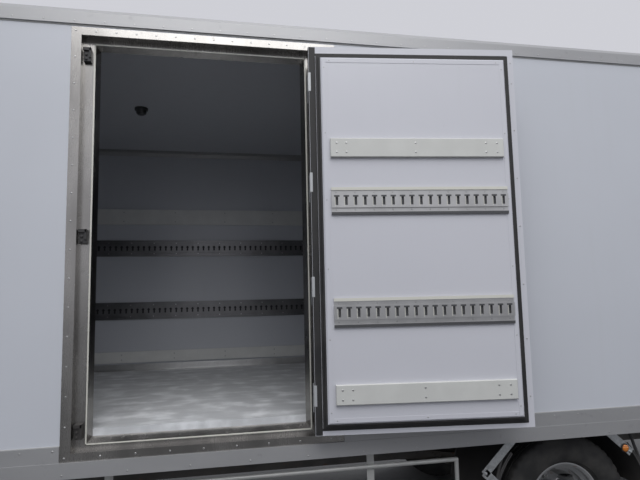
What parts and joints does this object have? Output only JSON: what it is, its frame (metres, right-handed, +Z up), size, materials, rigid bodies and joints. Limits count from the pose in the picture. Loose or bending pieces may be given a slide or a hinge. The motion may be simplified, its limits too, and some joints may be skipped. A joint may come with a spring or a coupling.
{
  "type": "box truck",
  "caption": "Forward-control truck with an insulated box body, an open plug side door, rear doors, tilting cab and steered front wheels.",
  "frame": {"origin": "on the ground, straight below the middle of the front axle", "axes": "+X to the rear of the truck, +Y to its right side, +Z up"},
  "size_m": [8.557, 2.9272, 3.188],
  "materials": {
    "cab_paint": "gloss white paint",
    "panel_skin": "smooth white laminate skin",
    "rail_metal": "satin extruded aluminium",
    "stainless": "polished stainless sheet",
    "galvanised": "zinc plated steel",
    "chassis_black": "satin black paint",
    "rim_steel": "dusty grey paint",
    "tyre_rubber": "matt",
    "seal_rubber": "matt",
    "glass": "clear",
    "mirror_shell": "grained",
    "grille_plastic": "grained",
    "lamp_lens": "clear lens over a reflector",
    "engine_iron": "rough",
    "tank_metal": "satin dark paint",
    "spring_steel": "rusty black",
    "floor_sheet": "scuffed sheet",
    "board": "white board",
    "seat_fabric": "woven",
    "dash_plastic": "grained",
    "plant_cover": "moulded cover"
  },
  "bodies": {
    "chassis": {"box_floor": "floor_sheet", "box_roof": "panel_skin", "box_subframe": "chassis_black", "chassis_frame": "chassis_black", "cooler": "plant_cover", "cooling_plant": "plant_cover", "cross_members": "chassis_black", "driveline": "chassis_black", "edge_rails": "rail_metal", "engine_and_radiator": "engine_iron", "floor_bearers": "chassis_black", "front_axle": "chassis_black", "front_bumper": "grille_plastic", "guards": "galvanised", "hinge_brackets": "galvanised", "lamps": "lamp_lens", "leaf_springs": "spring_steel", "rear_axle": "chassis_black", "rear_bumper": "chassis_black", "rear_frame": "rail_metal", "side_door_frame": "stainless", "tank_battery_silencer": "tank_metal", "wall_front": "panel_skin", "wall_left": "panel_skin", "wall_lining": "galvanised", "wall_right": "panel_skin"},
    "cab": {"cab_floor_and_back": "cab_paint", "cab_roof": "cab_paint", "cab_front": "cab_paint", "cab_sides": "cab_paint", "windscreen": "glass", "grille": "grille_plastic", "seats": "seat_fabric", "dashboard": "dash_plastic", "mirrors": "mirror_shell"},
    "cab_door_left": {"cab_door_left": "cab_paint", "door_glass_left": "glass"},
    "cab_door_right": {"cab_door_right": "cab_paint", "door_glass_right": "glass"},
    "side_door": {"side_leaf": "panel_skin", "side_gasket": "seal_rubber", "side_door_gear": "galvanised", "leaf_rails": "galvanised", "leaf_boards": "board"},
    "rear_door_left": {"rear_leaf_left": "panel_skin", "rear_gear_left": "galvanised"},
    "rear_door_right": {"rear_leaf_right": "panel_skin", "rear_gear_right": "galvanised"},
    "knuckle_left": {"knuckle_left": "chassis_black"},
    "knuckle_right": {"knuckle_right": "chassis_black"},
    "tie_rod": {"tie_rod": "chassis_black"},
    "front_wheel_left": {"tyre_front_left": "tyre_rubber", "rim_front_left": "rim_steel"},
    "front_wheel_right": {"tyre_front_right": "tyre_rubber", "rim_front_right": "rim_steel"},
    "rear_wheels_left": {"tyres_rear_left": "tyre_rubber", "rims_rear_left": "rim_steel"},
    "rear_wheels_right": {"tyres_rear_right": "tyre_rubber", "rims_rear_right": "rim_steel"}
  },
  "joints": [
    {"name": "cab_tilt", "type": "hinge", "parent": "chassis", "child": "cab", "pos_m": [-1.12, 0, 0.78], "axis": [0, -1, 0], "range_deg": [0, 45]},
    {"name": "cab_door_left_swing", "type": "hinge", "parent": "cab", "child": "cab_door_left", "pos_m": [-0.957, -1.124, 1.6], "axis": [0, 0, -1], "range_deg": [0, 70]},
    {"name": "cab_door_right_swing", "type": "hinge", "parent": "cab", "child": "cab_door_right", "pos_m": [-0.957, 1.124, 1.6], "axis": [0, 0, 1], "range_deg": [0, 70]},
    {"name": "side_door_swing", "type": "hinge", "parent": "chassis", "child": "side_door", "pos_m": [3.17, -1.275, 2], "axis": [0, 0, 1], "range_deg": [-173.3, 3]},
    {"name": "rear_door_left_swing", "type": "hinge", "parent": "chassis", "child": "rear_door_left", "pos_m": [7.211, -1.27, 2], "axis": [0, 0, -1], "range_deg": [0, 262]},
    {"name": "rear_door_right_swing", "type": "hinge", "parent": "chassis", "child": "rear_door_right", "pos_m": [7.211, 1.27, 2], "axis": [0, 0, 1], "range_deg": [0, 262]},
    {"name": "steer_left", "type": "hinge", "parent": "chassis", "child": "knuckle_left", "pos_m": [0, -0.835, 0.4], "axis": [0, 0, 1], "range_deg": [-35, 35]},
    {"name": "steer_right", "type": "hinge", "parent": "chassis", "child": "knuckle_right", "pos_m": [0, 0.835, 0.4], "axis": [0, 0, 1], "range_deg": [-35, 35]},
    {"name": "tie_rod_swing", "type": "hinge", "parent": "knuckle_left", "child": "tie_rod", "pos_m": [0.16, -0.835, 0.279], "axis": [0, 0, 1], "range_deg": [-35, 35]},
    {"name": "front_wheel_left_spin", "type": "hinge", "parent": "knuckle_left", "child": "front_wheel_left", "pos_m": [0, -0.978, 0.4], "axis": [0, 1, 0], "continuous": true},
    {"name": "front_wheel_right_spin", "type": "hinge", "parent": "knuckle_right", "child": "front_wheel_right", "pos_m": [0, 0.978, 0.4], "axis": [0, 1, 0], "continuous": true},
    {"name": "rear_wheels_left_spin", "type": "hinge", "parent": "chassis", "child": "rear_wheels_left", "pos_m": [4.7, -0.907, 0.4], "axis": [0, 1, 0], "continuous": true},
    {"name": "rear_wheels_right_spin", "type": "hinge", "parent": "chassis", "child": "rear_wheels_right", "pos_m": [4.7, 0.907, 0.4], "axis": [0, 1, 0], "continuous": true}
  ],
  "couplings": [
    {"joint": "steer_right", "follows": "steer_left", "ratio": 1},
    {"joint": "tie_rod_swing", "follows": "steer_left", "ratio": -1}
  ]
}
